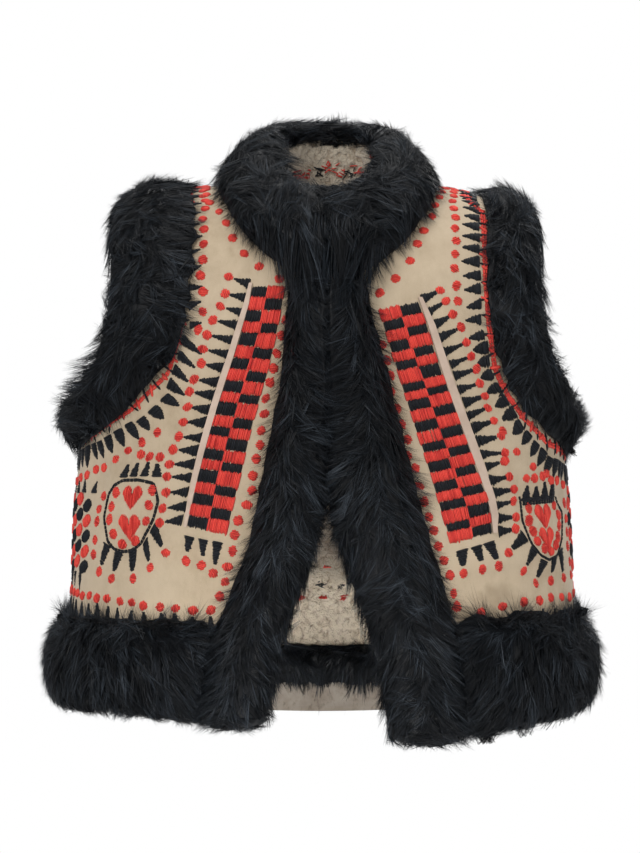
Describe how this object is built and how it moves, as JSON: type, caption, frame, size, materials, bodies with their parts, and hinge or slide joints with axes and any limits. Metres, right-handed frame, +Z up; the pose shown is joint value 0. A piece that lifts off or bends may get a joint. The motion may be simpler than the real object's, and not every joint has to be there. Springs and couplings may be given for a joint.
{
  "type": "embroidered folk vest",
  "caption": "Hollow, worn-form suede folk vest with curly pile lining, long black fur trim and stand collar; open at neck, armholes and hem.",
  "frame": {"origin": "between the shoulders, inside the neck, level with the top of the shoulders: where the wearer or a stand carries the vest", "axes": "+Z up, the wearer faces -Y, +X towards the wearer's left"},
  "size_m": [0.4466, 0.2862, 0.4972],
  "materials": {
    "suede": "napped tan suede with red and black satin stitch",
    "cream_pile": "curly cream pile",
    "black_fur": "long soft black fur"
  },
  "bodies": {
    "root": {"back": "suede", "front_right": "suede", "front_left": "suede", "chest_welt_right": "suede", "chest_welt_left": "suede", "hem_facing_back": "suede", "lining_back": "cream_pile", "lining_front_right": "cream_pile", "lining_front_left": "cream_pile", "collar_lining": "cream_pile", "collar_fur": "black_fur", "edge_fur_right": "black_fur", "edge_fur_left": "black_fur", "armhole_fur_right": "black_fur", "armhole_fur_left": "black_fur", "hem_fur_right": "black_fur", "hem_fur_left": "black_fur", "hem_fur_back": "black_fur", "hem_strip_back": "black_fur"}
  },
  "joints": []
}
